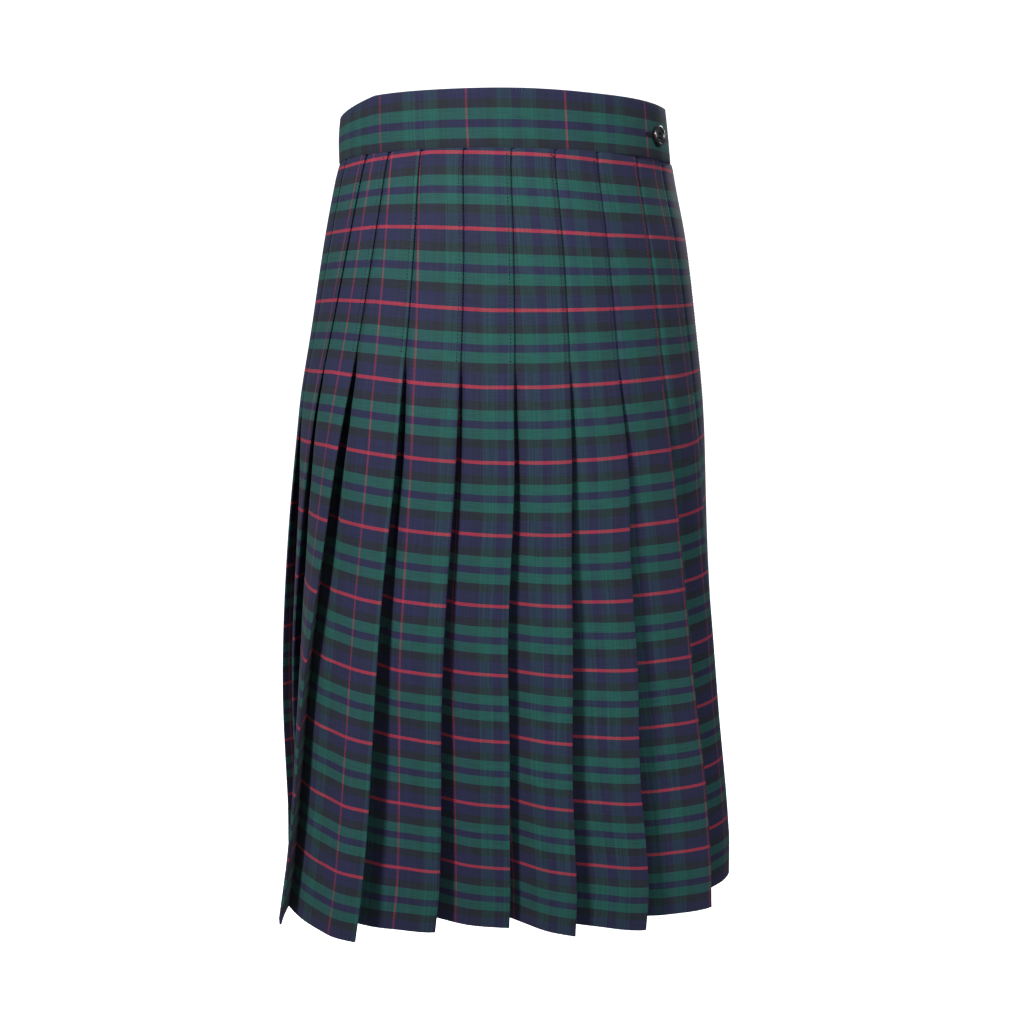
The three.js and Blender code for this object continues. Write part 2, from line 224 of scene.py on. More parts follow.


# %% [markdown]
# ## Soft creases
# Pressed cloth is never quite flat. Below the stitching each face carries one or two long, shallow
# troughs, and each edge sways a little from side to side. They are listed for the front, one row
# each, and a seeded draw gives the back creases of the same kind.

# %% Creases on the faces, and the sway of the edges
# pleat: which face; across: 0 at its inner turn, 1 at its edge; top, foot: where it fades in and out;
# width: half its width in mm; rise: how far it lifts the cloth outward, so a trough is negative.
CREASES = [
    dict(pleat=0, across=0.55, top=210, foot=549, width=14, rise=-2.4),
    dict(pleat=1, across=0.45, top=190, foot=470, width=12, rise=-1.8),
    dict(pleat=2, across=0.24, top=175, foot=549, width=11, rise=3.0),
    dict(pleat=2, across=0.72, top=300, foot=549, width=13, rise=-2.0),
    dict(pleat=3, across=0.50, top=220, foot=500, width=16, rise=-1.7),
    dict(pleat=3, across=0.75, top=380, foot=549, width=9, rise=1.2),
    dict(pleat=4, across=0.42, top=180, foot=400, width=12, rise=1.3),
    dict(pleat=4, across=0.60, top=350, foot=549, width=15, rise=-1.6),
    dict(pleat=5, across=0.55, top=240, foot=549, width=16, rise=1.5),
    dict(pleat=6, across=0.40, top=200, foot=430, width=13, rise=-1.3),
    dict(pleat=6, across=0.66, top=380, foot=549, width=12, rise=1.6),
    dict(pleat=7, across=0.52, top=260, foot=549, width=17, rise=-1.9),
    dict(pleat=8, across=0.36, top=200, foot=420, width=14, rise=1.4),
    dict(pleat=8, across=0.62, top=320, foot=549, width=18, rise=-2.1),
    dict(pleat=9, across=0.50, top=230, foot=549, width=14, rise=-2.0),
    dict(pleat=10, across=0.45, top=250, foot=520, width=13, rise=1.5),
]
draw = random.Random(21)
for pleat in range(len(FRONT_FOLDS), FOLDS):
    for _ in range(2):
        top = draw.uniform(175, 330)
        crease = dict(pleat=pleat, across=draw.uniform(0.35, 0.7), top=top, foot=top + draw.uniform(170, 330))
        crease.update(width=draw.uniform(9, 17), rise=draw.choice([-1, 1]) * draw.uniform(1.1, 2.3))
        CREASES.append(crease)
SWAY = [(draw.uniform(0.5, 1.3), draw.uniform(150, 260), draw.uniform(0, 6.3)) for _ in range(FOLDS)]


def crease_rise(pleat, t, level, length, opened):
    rise = np.zeros_like(t)
    for crease in CREASES:
        if crease["pleat"] != pleat or level < crease["top"]:
            continue
        fade = smooth(level, crease["top"], crease["top"] + 60)
        if crease["foot"] < SKIRT_LENGTH:
            fade *= 1 - smooth(level, crease["foot"] - 70, crease["foot"])
        away = (t - crease["across"]) * length / crease["width"]
        rise += crease["rise"] * fade * np.exp(-away * away)
    rim = smooth(t, 0.0, 0.12) * (1 - smooth(t, 0.88, 1.0))
    return rise * rim * opened


def edge_sway(pleat, level, opened):
    size, wave, start = SWAY[pleat]
    return size * opened * math.sin(level / wave * 2 * math.pi + start)


print(len(CREASES), "creases")

# %% [markdown]
# ## One pleat's line
# The two turns are arcs of small circles. A stitched face lies flat and steps out over the fold before
# it; a free face swings out from deep inside in a shallow bow. Between the two states the shapes are
# mixed.

# %% The cloth's middle line through one pleat
TURN_STEPS = 5
FACE_STEPS = 15
RETURN_STEPS = 3
STEP_RUN = 5.0  # a stitched face steps out over this much of its width
FACE_PUFF = 0.2


def outer_turn(fold, shares):
    heading = shares * fold["heading"]
    arc = fold["arc"] - FOLD_RADIUS + FOLD_RADIUS * np.sin(heading)
    depth = FOLD_RADIUS - fold["lean"] - FOLD_RADIUS * np.cos(heading)
    return np.stack([arc, depth, heading], axis=1)


def inner_turn(fold, leaving, shares):
    heading = mix(fold["heading"], leaving, shares)
    arc = fold["arc"] - fold["underlay"] - FOLD_RADIUS * np.sin(heading)
    depth = fold["depth"] - FOLD_RADIUS - fold["lean"] + FOLD_RADIUS * np.cos(heading)
    return np.stack([arc, depth, heading], axis=1)


def face_between(before, fold, pleat, level):
    start = before["arc"] - before["underlay"]
    length = fold["arc"] - FOLD_RADIUS - start
    hidden = (before["underlay"] + 0.5) / length
    step_ends = min(hidden + STEP_RUN / length, 1 - (fold["underlay"] + 1) / length)
    opened = before["opened"]
    puff = FACE_PUFF * (1 - opened) * smooth(level, 5, 60)

    def depth_at(t):
        closed = 1 - smooth(t, hidden, step_ends)
        bowed = (1 - np.clip(t, 0, 1)) ** FACE_BOW
        drop = before["depth"] * mix(closed, bowed, opened)
        crown = puff * np.sin(math.pi * np.clip((t - step_ends) / (1 - step_ends), 0, 1))
        lean = mix(before["lean"], fold["lean"], t)
        return drop - lean - crown - crease_rise(pleat, t, level, length, opened)

    even = np.linspace(0, 1, FACE_STEPS + 2)[1:-1]
    stepped = np.interp(even, [0, 0.15, 0.5, 1], [0, hidden, step_ends, 1])
    t = mix(stepped, even, opened)
    small = 1e-3
    slope = (depth_at(t + small) - depth_at(t - small)) / (2 * small * length)
    points = np.stack([start + t * length, depth_at(t), np.arctan(slope)], axis=1)
    first = float(depth_at(t[:1])[0] - depth_at(np.zeros(1))[0])
    return math.atan(first / (t[0] * length)), points


# %% [markdown]
# ## Pleat after pleat
# The line of one panel starts and ends in the middle of a hidden return, where the side seam is. The
# number of each edge's middle point is kept, because cloth coordinates and stitches are measured back
# from there.

# %% The line through many pleats
def pleat_line(level, girth, first, count):
    folds = folds_at(level, girth)
    for k, fold in enumerate(folds):
        fold["arc"] += edge_sway(k, level, fold["opened"])

    def turned(k):
        whole = math.floor(k / FOLDS)
        return dict(folds[k % FOLDS], arc=folds[k % FOLDS]["arc"] + whole * girth)

    def return_points(fold, shares, side):
        a = outer_turn(fold, np.array([1.0]))[0]
        b = inner_turn(fold, 0.0, np.array([0.0]))[0]
        points = np.stack([mix(a[i], b[i], shares) for i in range(3)], axis=1)
        points[:, 0] += side * PIECE_GAP / 2 * math.cos(fold["heading"])
        points[:, 1] += side * PIECE_GAP / 2 * math.sin(fold["heading"])
        return points

    shares = np.linspace(0, 1, TURN_STEPS)
    between = np.linspace(0, 1, RETURN_STEPS + 2)[1:-1]
    parts = [return_points(turned(first - 1), np.array([0.5]), 1)]
    tips = []
    for k in range(first, first + count):
        leaving, face = face_between(turned(k - 1), turned(k), k % FOLDS, level)
        parts += [inner_turn(turned(k - 1), leaving, shares), face, outer_turn(turned(k), shares)]
        tips.append(sum(len(part) for part in parts) - TURN_STEPS // 2 - 1)
        if k < first + count - 1:
            parts.append(return_points(turned(k), between, 0))
    parts.append(return_points(turned(first + count - 1), np.array([0.5]), -1))
    return np.vstack(parts), tips


# %% [markdown]
# ## Cloth coordinates
# Each face is measured back from its own edge, which keeps the threads straight along the edge; what is
# left over is taken up in the hidden return. Down the skirt the check drifts by a few millimetres,
# because the darts hidden in the pleats pull the weft off the level.

# %% Width and length of the cloth at each point, in millimetres
WARP_REPEAT = 65.5
PLEAT_SHIFT = 9.1  # each pleat's edge lies this much further into the check than the last one's
FIRST_RED = -4.5
RED_BELOW_SEAM = 1.9

DRIFT_ARCS = [-230, -130, -90, -50, -10, 30, 70, 110, 150, 200, 240, 330]
CHECK_DRIFT = [  # how far the check hangs below its level, at each of those arcs
    dict(level=3, lower=[0, 2.8, 0.8, -1.4, -0.4, 0.6, 2.5, 2.6, 2, 0, 0, 0]),
    dict(level=52, lower=[0, -1.5, -3.0, -1.8, -0.5, 0.6, 1.8, 1.4, 1, -1, -2, 0]),
    dict(level=102, lower=[0, -3.6, -2.7, 0.0, 1.9, 1.7, 0.6, -1.1, -2.0, -4, -5, 0]),
    dict(level=152, lower=[0, -3.8, -2.0, 0.5, 2.1, 1.6, -0.2, -2.2, -3.6, -6, -8, 0]),
    dict(level=201, lower=[0, -3.0, -1.4, 0.6, 1.9, 1.8, 0.2, -2.2, -3.2, -6, -9, 0]),
    dict(level=320, lower=[0, -1.0, -0.5, 0.2, 0.6, 0.6, 0, -0.8, -1.0, -4, -7, 0]),
    dict(level=500, lower=[0] * 12),
    dict(level=SKIRT_LENGTH, lower=[4] * 12),
]


def check_drift(level, arc):
    levels = [row["level"] for row in CHECK_DRIFT]
    lowered_at_each_arc = zip(*(row["lower"] for row in CHECK_DRIFT))
    columns = [curve_at(levels, lowered, level) for lowered in lowered_at_each_arc]
    return np.interp(arc, DRIFT_ARCS, columns)


def cloth_widths(points, tips, first):
    steps = np.linalg.norm(np.diff(points[:, :2], axis=0), axis=1)
    run = np.concatenate([[0.0], np.cumsum(steps)])
    widths = np.empty(len(run))
    for n, tip in enumerate(tips):
        edge = (first + n) * (WARP_REPEAT + PLEAT_SHIFT) + FIRST_RED
        start = tips[n - 1] + TURN_STEPS // 2 + RETURN_STEPS + 1 if n else 0
        widths[start : tip + 1] = edge - (run[tip] - run[start : tip + 1])
        if n:
            behind = slice(tips[n - 1], start + 1)
            known = [run[tips[n - 1]], run[start]]
            widths[behind] = np.interp(run[behind], known, [widths[tips[n - 1]], widths[start]])
    widths[tips[-1] :] = widths[tips[-1]] + run[tips[-1] :] - run[tips[-1]]
    return widths


# %% [markdown]
# ## From lines to a shell
# The shell has an outer and an inner skin, half a thickness either side of the middle line. The hem is
# turned up inside, so the last 38 mm are thicker, and both cut edges are rounded off. The top edge is
# caught a little way up inside the band, so no daylight shows through the seam. A Solidify modifier would
# pinch at the sharp turns, so both skins are placed from the line's own heading.

# %% Thickness, and the rows of the mesh
CLOTH_HALF = 0.3
HEM_HALF = 0.45
HEM_TOP = SKIRT_LENGTH - 38.0  # where the turned-up hem ends inside
HEM_STEP = 1.5  # the hem's extra thickness sets in over this much of the length
EDGE_ROUND = 0.7
LEAST_SHARE = 0.02  # squared share of the thickness that a cut edge keeps
TUCKED_IN = 0.6  # the cloth's top edge is caught this far up inside the band
ROW_STEP = 5.2


def half_thickness(level):
    half = mix(CLOTH_HALF, HEM_HALF, smooth(level, HEM_TOP - HEM_STEP, HEM_TOP))
    near = min(level + TUCKED_IN, SKIRT_LENGTH - level) / EDGE_ROUND
    return half * math.sqrt(max(1 - max(1 - near, 0) ** 2, LEAST_SHARE))


def skirt_levels():
    edge = [0.0, 0.1, 0.35, EDGE_ROUND]
    top = [x - TUCKED_IN for x in edge] + [0.9, 2.0, 3.5]
    foot = [SKIRT_LENGTH - x for x in reversed(edge)]
    hem_line = [HEM_TOP - HEM_STEP, HEM_TOP - 0.7, HEM_TOP]
    count = round((hem_line[0] - 6) / ROW_STEP)
    middle = list(np.linspace(6, hem_line[0] - ROW_STEP / 2, count))
    below = list(np.linspace(hem_line[-1] + 4, SKIRT_LENGTH - 3.5, 7))
    return top + middle + hem_line + below + foot


LEVELS = skirt_levels()
print(len(LEVELS), "rows from seam to hem")


# %% A closed shell between two grids of points, with a map of the cloth's own coordinates
def new_object(name, mesh):
    made = bpy.data.objects.new(name, mesh)
    bpy.context.scene.collection.objects.link(made)
    return made


def map_cloth(mesh, cloth):
    """The cloth's own width and length at each vertex, as a UV map in metres."""
    layer = mesh.uv_layers.new(name="cloth")
    corners = np.empty(len(mesh.loops), dtype=np.int32)
    mesh.loops.foreach_get("vertex_index", corners)
    layer.data.foreach_set("uv", (cloth[corners] * MM).astype(np.float32).ravel())
    mesh.polygons.foreach_set("use_smooth", [True] * len(mesh.polygons))
    mesh.update()


def shell_mesh(name, outer, inner, widths, lengths):
    rows, columns = widths.shape
    positions = np.vstack([outer.reshape(-1, 3), inner.reshape(-1, 3)]) * MM
    j, i = np.meshgrid(np.arange(rows - 1), np.arange(columns - 1), indexing="ij")
    a = (j * columns + i).ravel()
    skin = np.stack([a, a + columns, a + columns + 1, a + 1], axis=1)
    faces = [skin, skin[:, ::-1] + rows * columns]
    side = np.arange(rows - 1) * columns
    inn = rows * columns
    faces.append(np.stack([side, side + inn, side + columns + inn, side + columns], axis=1))
    end = side + columns - 1
    faces.append(np.stack([end, end + columns, end + columns + inn, end + inn], axis=1))
    top = np.arange(columns - 1)
    faces.append(np.stack([top, top + 1, top + 1 + inn, top + inn], axis=1))
    foot = top + (rows - 1) * columns
    faces.append(np.stack([foot, foot + inn, foot + 1 + inn, foot + 1], axis=1))
    mesh = bpy.data.meshes.new(name)
    mesh.from_pydata(positions.tolist(), [], np.vstack(faces).tolist())
    cloth = np.stack([widths.ravel(), lengths.ravel()], axis=1)
    map_cloth(mesh, np.vstack([cloth, cloth]))
    return new_object(name, mesh)


# %% [markdown]
# ## The pleated panels
# The front and the back are two pieces, joined in side seams that lie hidden inside a return. At the
# waist the layers are squeezed together by the seam. While the panel is made, the places where its edge
# stitching will run are noted: a little inside each pressed edge, on the cloth's outer skin.

# %% The front and the back of the skirt
SEAM_SQUEEZE = 0.2
SEAM_RUN = 3.0
STITCH_INSET = 2.6  # from the pressed edge to its line of stitching
STITCH_START = 2.5  # below the waist seam
stitch_lines = {}


def note_stitches(level, outer, widths, tips, first, folds):
    for n, tip in enumerate(tips):
        fold = folds[(first + n) % FOLDS]
        if level < STITCH_START or level > fold["stitched"]:
            continue
        near = slice(tip - FACE_STEPS, tip + 1)
        inset = widths[tip] - STITCH_INSET
        point = [np.interp(inset, widths[near], outer[near, axis]) for axis in range(3)]
        stitch_lines.setdefault(first + n, []).append((point, list(outer[tip])))


def pleated_cloth(name, first, count):
    outer, inner, widths, lengths = [], [], [], []
    for level in LEVELS:
        ring = Ring(SKIRT_BODY, level)
        line, tips = pleat_line(level, ring.round, first, count)
        arc, depth, heading = line.T
        squeeze = SEAM_SQUEEZE * (1 - float(smooth(level, PIECE_GAP, SEAM_RUN)))
        depth = mix(depth, CLOSED_DEPTH / 2, squeeze)
        half = half_thickness(level)
        way = np.stack([np.sin(heading), -np.cos(heading)]) * half
        outer.append(ring.place(arc + way[0], depth + way[1]))
        inner.append(ring.place(arc - way[0], depth - way[1]))
        widths.append(cloth_widths(ring.place(arc, depth), tips, first))
        lengths.append(level - check_drift(level, arc))
        note_stitches(level, outer[-1], widths[-1], tips, first, folds_at(level, ring.round))
    return shell_mesh(name, np.array(outer), np.array(inner), np.array(widths), np.array(lengths))


front_cloth = pleated_cloth("front_cloth", 0, len(FRONT_FOLDS))
back_cloth = pleated_cloth("back_cloth", len(FRONT_FOLDS), HIDDEN_FOLDS)
print("front cloth", len(front_cloth.data.polygons), "faces, back cloth", len(back_cloth.data.polygons))

# %% [markdown]
# ## The waistband
# The band is a strip of the same cloth, folded double over a stiffening: the top edge is a fold, so it is
# round, and the bottom edge is drawn into the seam. Its ends lap over each other where the button is. A
# closed section is swept round the waist by hand, because it has to part into two layers where the ends
# overlap.

# %% The band's section and the way that it runs
BAND_ROUND = 1.1
BAND_CROWN = 0.2
BAND_STEPS = 420
END_ROUND = [0.25, 0.62, 0.88, 1.0]
PUCKER = 0.1  # how far the seam ruffles the band's lower edge
PUCKER_WAVES = [(3.9, 1.0, 0.0), (2.3, 0.7, 1.3)]  # run of one radian, share and start of each ripple
PUCKER_FADE = 7.0
WAVE_HEIGHT = 0.5  # the top edge of a worn band is never quite level
SAG = 7.0  # the band's top edge droops at the wearer's right side
SAG_FROM = 88.0
SAG_RUN = 35.0


def band_section():
    """(level, share of the half wall) once round the section, starting at the seam on the outside."""
    turn = np.linspace(0, math.pi, 9)
    top = [(-BAND_HEIGHT + BAND_ROUND * (1 - math.sin(a)), math.cos(a)) for a in turn]
    up = [(-x, 1.0) for x in (0.7, 3, 6, 10, 15, 20, 25, 30, 34)]
    down = [(level, -1.0) for level, _ in reversed(up)]
    return [(0.0, 0.6), (-0.25, 0.88)] + up + top + down + [(-0.25, -0.88), (0.0, -0.6)]


def band_path():
    lap = UNDERLAP_PAST_BUTTON + OVERLAP_PAST_BUTTON
    length = waist_round + lap
    ends = np.array([0.0, 0.3, 0.8, 1.4])
    run = np.concatenate([ends, np.linspace(3.0, length - 3.0, BAND_STEPS), length - ends[::-1]])
    half_step = (BAND_WALL + PIECE_GAP) / 2
    eased_in = 1 - smooth(run, lap, lap + OVERLAP_EASE)
    eased_out = 1 - smooth(length - run, lap, lap + OVERLAP_EASE)
    return run, half_step * (eased_in - eased_out)


# %% The band's points, and the cloth's coordinates on them
def waistband():
    run, depth = band_path()
    start = BUTTON_ARC - UNDERLAP_PAST_BUTTON
    plump = np.ones(len(run))
    plump[: len(END_ROUND)] = END_ROUND
    plump[-len(END_ROUND) :] = END_ROUND[::-1]
    section = band_section()
    around = np.concatenate([[0.0], np.cumsum([math.dist(a, b) for a, b in zip(section, section[1:])])])
    grid, widths, lengths = [], [], []
    for (level, share), travelled in zip(section, around):
        ring = Ring(BAND_BODY, level)
        arc = (start + run) * ring.round / waist_round
        above = min(max(-level / BAND_HEIGHT, 0), 1)
        crown = BAND_CROWN * math.sin(math.pi * above) if share > 0 else 0
        ripple = sum(share_of * np.sin(run / radian + begin) for radian, share_of, begin in PUCKER_WAVES)
        pucker = PUCKER * math.exp(level / PUCKER_FADE) * ripple
        points = ring.place(arc, depth - plump * (share * BAND_WALL / 2 + crown + max(share, 0) * pucker))
        points[:, 2] -= WAVE_HEIGHT * above**2 * (0.5 + 0.5 * np.sin(run / 23) * np.sin(run / 61 + 1))
        points[:, 2] -= SAG * above**2 * np.clip((-points[:, 0] - SAG_FROM) / SAG_RUN, 0, 1)
        grid.append(points)
        widths.append(start + run)
        lengths.append(np.full(len(run), travelled))
    return np.array(grid), np.array(widths), np.array(lengths), around


def tube_mesh(name, grid, widths, lengths):
    """A mesh whose rows close on themselves; both ends are capped."""
    rows, columns = widths.shape
    j, i = np.meshgrid(np.arange(rows), np.arange(columns - 1), indexing="ij")
    a = (j * columns + i).ravel()
    b = (((j + 1) % rows) * columns + i).ravel()
    faces = np.stack([a, a + 1, b + 1, b], axis=1).tolist()
    faces.append([row * columns for row in range(rows)])
    faces.append([row * columns + columns - 1 for row in reversed(range(rows))])
    mesh = bpy.data.meshes.new(name)
    mesh.from_pydata((grid.reshape(-1, 3) * MM).tolist(), [], faces)
    map_cloth(mesh, np.stack([widths.ravel(), lengths.ravel()], axis=1))
    return new_object(name, mesh)


BAND_RED_ARC = 18.5  # one of the red warp lines crosses the band here
BAND_TOP_AFTER_RED = 2.9
grid, widths, lengths, around = waistband()
top_of_band = around[len(around) // 2]
band_lengths = RED_BELOW_SEAM + BAND_TOP_AFTER_RED + (top_of_band - lengths)
band_cloth = tube_mesh("band_cloth", grid, widths - BAND_RED_ARC, band_lengths)
print("band", len(band_cloth.data.polygons), "faces")

# %% [markdown]
# ## Materials
# Colours are given as sRGB hex values, as a dyer's card would, and one function turns them into the
# linear values that Blender works with. One more function adds a node, sets it up and links it.

# %% Three helpers for every material
def linear(hex_code):
    channels = [int(hex_code[i : i + 2], 16) / 255 for i in (1, 3, 5)]
    return tuple(c / 12.92 if c <= 0.04045 else ((c + 0.055) / 1.055) ** 2.4 for c in channels) + (1.0,)


def add_node(tree, kind, settings=None, inputs=None):
    made = tree.nodes.new(kind)
    for name, value in (settings or {}).items():
        setattr(made, name, value)
    for key, value in (inputs or {}).items():
        if isinstance(value, bpy.types.NodeSocket):
            tree.links.new(value, made.inputs[key])
        else:
            made.inputs[key].default_value = value
    return made


def new_material(name, **sockets):
    material = bpy.data.materials.new(name)
    material.use_nodes = True
    shader = material.node_tree.nodes["Principled BSDF"]
    for socket, value in sockets.items():
        shader.inputs[socket.replace("_", " ")].default_value = value
    return material, material.node_tree, shader


# %% [markdown]
# ### The tartan
# The weft lies on top for most of its length, so the stripes across the skirt are strong and those
# down it only tint them. Each stripe is a row of the table: its colour and its width in millimetres
# across the cloth.

# %% The yarns and the sett
YARN = dict(navy="#17182f", charcoal="#14181d", green="#123a35", red="#75202f")
WEFT_STRIPES = [
    ("red", 2.3),
    ("navy", 7.9),
    ("charcoal", 5.8),
    ("green", 7.1),
    ("navy", 4.9),
    ("green", 7.1),
    ("charcoal", 5.8),
    ("navy", 8.5),
]
WARP_STRIPES = [
    ("red", 1.5),
    ("navy", 10.9),
    ("charcoal", 7.8),
    ("green", 9.8),
    ("navy", 6.5),
    ("green", 9.8),
    ("charcoal", 7.8),
    ("navy", 11.4),
]
WARP_SHOWS = dict(navy=0.2, charcoal=0.2, green=0.2, red=0.3)
MIX_A, MIX_B, MIX_COLOUR = 6, 7, 2  # the colour sockets of a Mix node


def stripes(tree, coordinate, table):
    """The colour of a yarn at this place across the cloth; its alpha says how much a warp yarn shows."""
    repeat = sum(width for _, width in table) * MM
    place = add_node(tree, "ShaderNodeMath", {"operation": "DIVIDE"}, {0: coordinate, 1: repeat})
    within = add_node(tree, "ShaderNodeMath", {"operation": "FRACT"}, {0: place.outputs[0]})
    ramp = add_node(tree, "ShaderNodeValToRGB", inputs={0: within.outputs[0]})
    ramp.color_ramp.interpolation = "CONSTANT"
    stops = ramp.color_ramp.elements
    stops.remove(stops[1])
    at = 0.0
    for n, (yarn, width) in enumerate(table):
        stop = stops[0] if n == 0 else stops.new(at / repeat)
        stop.position = at / repeat
        stop.color = linear(YARN[yarn])[:3] + (WARP_SHOWS[yarn],)
        at += width * MM
    return ramp


# %% [markdown]
# ### Threads, twill and nap
# Up close the cloth is a fine slanting ripple, the twill line, in uneven yarn. A real twill line is about
# one millimetre wide; it is drawn at two so that it still shows a step away. Streaks along the warp and
# the weft come from noise that is stretched along each thread, and they move both the colour and the
# little relief.

# %% The cloth material
THREAD = 0.5  # mm from one yarn to the next
TWILL_FLOAT = 4  # yarns in one repeat of the twill line, drawn twice as coarse as real ones
TWILL_TINT = 0.08  # how far the twill line changes which yarn shows
SLUB_TINT = 0.1  # how far uneven yarn changes it
SLUB_SHADE = 0.28  # uneven yarn is up to this much lighter or darker
TWILL_RELIEF = 0.35  # the twill line's height against the unevenness of the yarn


def streaks(tree, cloth, scale):
    way = add_node(tree, "ShaderNodeMapping", inputs={0: cloth, "Scale": scale})
    noise_inputs = {"Vector": way.outputs[0], "Scale": 1.0, "Detail": 1.0}
    return add_node(tree, "ShaderNodeTexNoise", inputs=noise_inputs)


def tartan_material():
    # Wool worsted, woven and pressed: matt, with a faint bloom of nap where it turns away from the eye.
    material, tree, shader = new_material("worsted_twill_tartan", Roughness=0.82, Specular_IOR_Level=0.15)
    shader.inputs["Sheen Weight"].default_value = 0.04
    shader.inputs["Sheen Roughness"].default_value = 0.45
    cloth = add_node(tree, "ShaderNodeUVMap", {"uv_map": "cloth"})
    across = add_node(tree, "ShaderNodeSeparateXYZ", inputs={0: cloth.outputs[0]})
    width, length = across.outputs[0], across.outputs[1]
    below_red = add_node(
        tree, "ShaderNodeMath", {"operation": "SUBTRACT"}, {0: length, 1: RED_BELOW_SEAM * MM}
    )
    weft = stripes(tree, below_red.outputs[0], WEFT_STRIPES)
    warp = stripes(tree, width, WARP_STRIPES)
    # The twill line: weft and warp take turns on top.
    wave = 2 * math.pi / (THREAD * TWILL_FLOAT * MM)
    slant = add_node(tree, "ShaderNodeMath", {"operation": "ADD"}, {0: width, 1: length})
    phase = add_node(tree, "ShaderNodeMath", {"operation": "MULTIPLY"}, {0: slant.outputs[0], 1: wave})
    twill = add_node(tree, "ShaderNodeMath", {"operation": "SINE"}, {0: phase.outputs[0]})
    # Uneven yarn: streaks along the weft and along the warp.
    weft_slub = streaks(tree, cloth.outputs[0], (60, 1 / (THREAD * MM), 1))
    warp_slub = streaks(tree, cloth.outputs[0], (1 / (THREAD * 2 * MM), 22, 1))
    shows = add_node(
        tree,
        "ShaderNodeMath",
        {"operation": "MULTIPLY_ADD"},
        {0: twill.outputs[0], 1: TWILL_TINT, 2: warp.outputs[1]},
    )
    uneven = add_node(
        tree,
        "ShaderNodeMapRange",
        inputs={0: warp_slub.outputs[0], 1: 0.25, 2: 0.75, 3: -SLUB_TINT, 4: SLUB_TINT},
    )
    shows = add_node(
        tree, "ShaderNodeMath", {"operation": "ADD"}, {0: shows.outputs[0], 1: uneven.outputs[0]}
    )
    woven = add_node(
        tree,
        "ShaderNodeMix",
        {"data_type": "RGBA", "clamp_factor": True},
        {0: shows.outputs[0], MIX_A: weft.outputs[0], MIX_B: warp.outputs[0]},
    )
    slub = add_node(
        tree, "ShaderNodeMath", {"operation": "ADD"}, {0: weft_slub.outputs[0], 1: warp_slub.outputs[0]}
    )
    shade = add_node(
        tree,
        "ShaderNodeMapRange",
        inputs={0: slub.outputs[0], 1: 0.6, 2: 1.4, 3: 1 - SLUB_SHADE, 4: 1 + SLUB_SHADE},
    )
    yarn = add_node(
        tree,
        "ShaderNodeVectorMath",
        {"operation": "SCALE"},
        {0: woven.outputs[MIX_COLOUR], "Scale": shade.outputs[0]},
    )
    tree.links.new(yarn.outputs[0], shader.inputs["Base Color"])
    relief = add_node(
        tree,
        "ShaderNodeMath",
        {"operation": "MULTIPLY_ADD"},
        {0: twill.outputs[0], 1: TWILL_RELIEF, 2: slub.outputs[0]},
    )
    bump = add_node(tree, "ShaderNodeBump", inputs={0: 0.35, 1: 0.12 * MM, "Height": relief.outputs[0]})
    tree.links.new(bump.outputs[0], shader.inputs["Normal"])
    return material


tartan = tartan_material()
for cloth in (front_cloth, back_cloth, band_cloth):
    cloth.data.materials.append(tartan)
print("tartan repeats every", sum(w for _, w in WEFT_STRIPES), "by", sum(w for _, w in WARP_STRIPES), "mm")

# %% [markdown]
# ### Sewing thread
# Spun polyester, dyed to match the darkest yarn. Two plies twist round each other, which gives each stitch a
# slanting ripple in its relief and a dull gleam;
# its colour is painted darker in the grooves between the plies and lighter on their crowns, a painted shade
# and highlight.

# %% The thread material
PLY_TWIST = 0.8  # mm for one turn of the plies


def thread_material():
    material, tree, shader = new_material("spun_polyester_thread", Roughness=0.7, Specular_IOR_Level=0.2)
    place = add_node(tree, "ShaderNodeTexCoord")
    ply = add_node(
        tree,
        "ShaderNodeTexWave",
        {"bands_direction": "DIAGONAL"},
        {"Vector": place.outputs["Object"], "Scale": 1 / (PLY_TWIST * MM) / 3, "Distortion": 1.0},
    )
    # Painted shade and highlight: the thread's colour goes darker in the grooves between the plies and
    # lighter on their crowns.
    ply_painted_shade = add_node(tree, "ShaderNodeValToRGB", inputs={0: ply.outputs[1]})
    ply_painted_shade.color_ramp.elements[0].color = linear("#030409")
    ply_painted_shade.color_ramp.elements[1].color = linear("#0e0f19")
    tree.links.new(ply_painted_shade.outputs[0], shader.inputs["Base Color"])
    bump = add_node(tree, "ShaderNodeBump", inputs={0: 0.5, 1: 0.05 * MM, "Height": ply.outputs[1]})
    tree.links.new(bump.outputs[0], shader.inputs["Normal"])
    return material


thread = thread_material()

# %% [markdown]
# ## Stitches
# Each pleat is held by a straight line of machine stitches just inside its pressed edge, from the waist
# down to the hip, where a short bar across the edge locks the line. Stitches repeat along a path, so a
# Geometry Nodes tree places one small stitch at every pitch along any line that it is given; making each
# by hand would need thousands of lines. Each stitch is a slim grain of thread with both ends sunk in the
# cloth.

